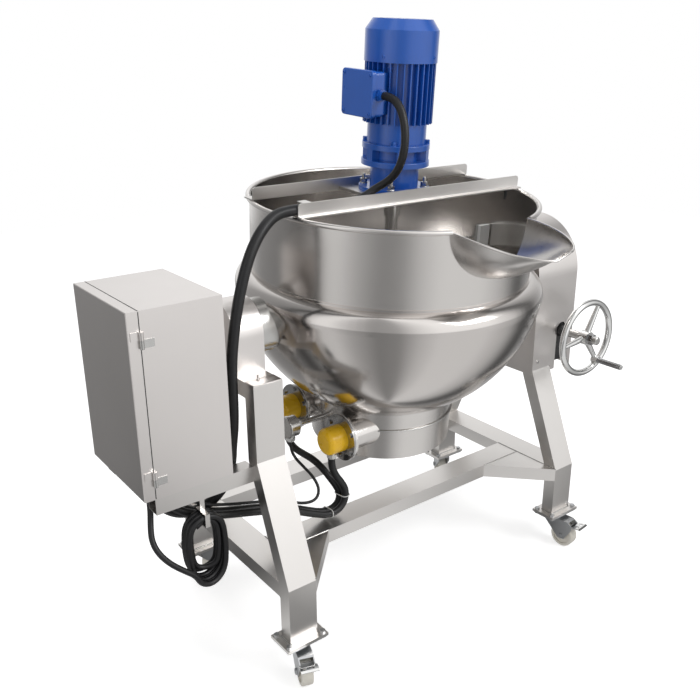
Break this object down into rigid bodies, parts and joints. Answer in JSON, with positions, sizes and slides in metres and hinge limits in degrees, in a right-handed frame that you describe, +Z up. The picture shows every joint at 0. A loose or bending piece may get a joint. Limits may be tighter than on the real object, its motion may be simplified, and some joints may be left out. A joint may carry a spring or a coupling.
{
  "type": "steam jacketed kettle",
  "caption": "Tilting steam jacketed kettle on a caster frame, electrically heated, with a top-mounted agitator, pouring spout, worm drive and side cabinet.",
  "frame": {"origin": "on the floor, under the middle of the machine's box without its cords", "axes": "+Z up, +X along the trunnions towards the worm drive, -Y the way the kettle pours"},
  "size_m": [1.505, 1.0037, 1.5664],
  "materials": {
    "stainless_stand": "brushed stainless",
    "stainless_kettle": "fine brushed stainless",
    "stainless_cabinet": "brushed stainless sheet",
    "hinge_steel": "satin",
    "bearing_iron": "painted dark",
    "bearing_black": "black",
    "bronze": "machined bronze",
    "machined_steel": "machined stainless",
    "handwheel_chrome": "chrome plated",
    "crank_chrome": "polished dark",
    "scraper_ptfe": "white PTFE",
    "motor_paint": "gloss blue paint",
    "heater_steel": "polished, white gasket",
    "cap_yellow": "gloss yellow",
    "probe_steel": "polished",
    "caster_zinc": "zinc plated",
    "wheel_nylon": "off-white nylon",
    "brake_chrome": "chrome plated",
    "switchgear": "switchgear plastic",
    "conduit_black": "black corrugated conduit",
    "cable_black": "black rubber cable"
  },
  "bodies": {
    "frame": {"left_legs": "stainless_stand", "right_legs": "stainless_stand", "cross_beams": "stainless_stand", "long_beams": "stainless_stand", "gussets": "stainless_stand", "foot_plates": "stainless_stand", "bearing_beams": "stainless_stand", "bearing_blocks": "bearing_iron", "trunnion_cover": "stainless_stand", "gear_housing": "stainless_stand", "worm_bracket": "stainless_stand", "worm_bearing": "bearing_black", "caster_plates": "caster_zinc", "cabinet_shelf": "stainless_stand", "cabinet_body": "stainless_cabinet", "control_gear": "switchgear", "cabinet_hinges": "hinge_steel", "trunk_hose": "conduit_black", "front_heater_conduit": "conduit_black", "back_heater_conduit": "conduit_black", "probe_cable": "cable_black", "power_cable": "cable_black", "power_coil": "cable_black"},
    "kettle": {"bowl": "stainless_kettle", "spout": "stainless_kettle", "jacket": "stainless_kettle", "heating_chamber": "stainless_kettle", "left_trunnion": "stainless_kettle", "right_trunnion": "stainless_kettle", "worm_wheel": "bronze", "crossbars": "stainless_kettle", "motor_plate": "stainless_kettle", "reducer": "motor_paint", "motor_adapter": "motor_paint", "motor_stator": "motor_paint", "fan_cover": "motor_paint", "terminal_box": "motor_paint", "terminal_lid": "motor_paint", "heater_elements": "heater_steel", "heater_caps": "cap_yellow", "temperature_probe": "probe_steel", "motor_conduit": "conduit_black"},
    "agitator": {"agitator_shaft": "machined_steel", "agitator_anchor": "machined_steel", "scrapers": "scraper_ptfe"},
    "handwheel": {"worm_shaft": "machined_steel", "handwheel": "handwheel_chrome", "handwheel_nut": "machined_steel"},
    "crank_handle": {"crank_handle": "crank_chrome"},
    "cabinet_door": {"cabinet_door": "stainless_cabinet"},
    "fork_front_left": {"fork_front_left": "caster_zinc"},
    "wheel_front_left": {"wheel_front_left": "wheel_nylon"},
    "brake_front_left": {"brake_front_left": "brake_chrome"},
    "fork_front_right": {"fork_front_right": "caster_zinc"},
    "wheel_front_right": {"wheel_front_right": "wheel_nylon"},
    "brake_front_right": {"brake_front_right": "brake_chrome"},
    "fork_back_left": {"fork_back_left": "caster_zinc"},
    "wheel_back_left": {"wheel_back_left": "wheel_nylon"},
    "fork_back_right": {"fork_back_right": "caster_zinc"},
    "wheel_back_right": {"wheel_back_right": "wheel_nylon"}
  },
  "joints": [
    {"name": "kettle_tilt", "type": "hinge", "parent": "frame", "child": "kettle", "pos_m": [0.0585, 0.08621, 0.85], "axis": [1, 0, 0], "range_deg": [-4, 86], "deforming": ["trunk_hose", "front_heater_conduit", "back_heater_conduit", "probe_cable"]},
    {"name": "handwheel_turn", "type": "hinge", "parent": "frame", "child": "handwheel", "pos_m": [0.6325, -0.16879, 0.67], "axis": [0, 1, 0], "range_deg": [-240, 5160]},
    {"name": "crank_handle_turn", "type": "hinge", "parent": "handwheel", "child": "crank_handle", "pos_m": [0.6873, -0.21379, 0.58875], "axis": [0, 1, 0], "continuous": true},
    {"name": "agitator_turn", "type": "hinge", "parent": "kettle", "child": "agitator", "pos_m": [0.0585, 0.08621, 0.85], "axis": [0, -0.0698, 0.9976], "continuous": true},
    {"name": "door_swing", "type": "hinge", "parent": "frame", "child": "cabinet_door", "pos_m": [-0.7245, -0.05979, 0.768], "axis": [0, 0, 1], "range_deg": [0, 110]},
    {"name": "swivel_front_left", "type": "hinge", "parent": "frame", "child": "fork_front_left", "pos_m": [-0.4335, -0.17179, 0.097], "axis": [0, 0, 1], "continuous": true},
    {"name": "roll_front_left", "type": "hinge", "parent": "fork_front_left", "child": "wheel_front_left", "pos_m": [-0.44718, -0.20937, 0.0375], "axis": [0.9397, -0.342, 0], "continuous": true},
    {"name": "press_brake_front_left", "type": "hinge", "parent": "fork_front_left", "child": "brake_front_left", "pos_m": [-0.45573, -0.23287, 0.075], "axis": [0.9397, -0.342, 0], "range_deg": [0, 15]},
    {"name": "swivel_front_right", "type": "hinge", "parent": "frame", "child": "fork_front_right", "pos_m": [0.5505, -0.17179, 0.097], "axis": [0, 0, 1], "continuous": true},
    {"name": "roll_front_right", "type": "hinge", "parent": "fork_front_right", "child": "wheel_front_right", "pos_m": [0.55537, -0.21149, 0.0375], "axis": [0.9925, 0.1219, 0], "continuous": true},
    {"name": "press_brake_front_right", "type": "hinge", "parent": "fork_front_right", "child": "brake_front_right", "pos_m": [0.55842, -0.2363, 0.075], "axis": [0.9925, 0.1219, 0], "range_deg": [0, 15]},
    {"name": "swivel_back_left", "type": "hinge", "parent": "frame", "child": "fork_back_left", "pos_m": [-0.4335, 0.34421, 0.097], "axis": [0, 0, 1], "continuous": true},
    {"name": "roll_back_left", "type": "hinge", "parent": "fork_back_left", "child": "wheel_back_left", "pos_m": [-0.39486, 0.35457, 0.0375], "axis": [-0.2588, 0.9659, 0], "continuous": true},
    {"name": "swivel_back_right", "type": "hinge", "parent": "frame", "child": "fork_back_right", "pos_m": [0.5505, 0.34421, 0.097], "axis": [0, 0, 1], "continuous": true},
    {"name": "roll_back_right", "type": "hinge", "parent": "fork_back_right", "child": "wheel_back_right", "pos_m": [0.5705, 0.37885, 0.0375], "axis": [-0.866, 0.5, 0], "continuous": true}
  ],
  "couplings": [
    {"joint": "handwheel_turn", "follows": "kettle_tilt", "ratio": 60}
  ]
}
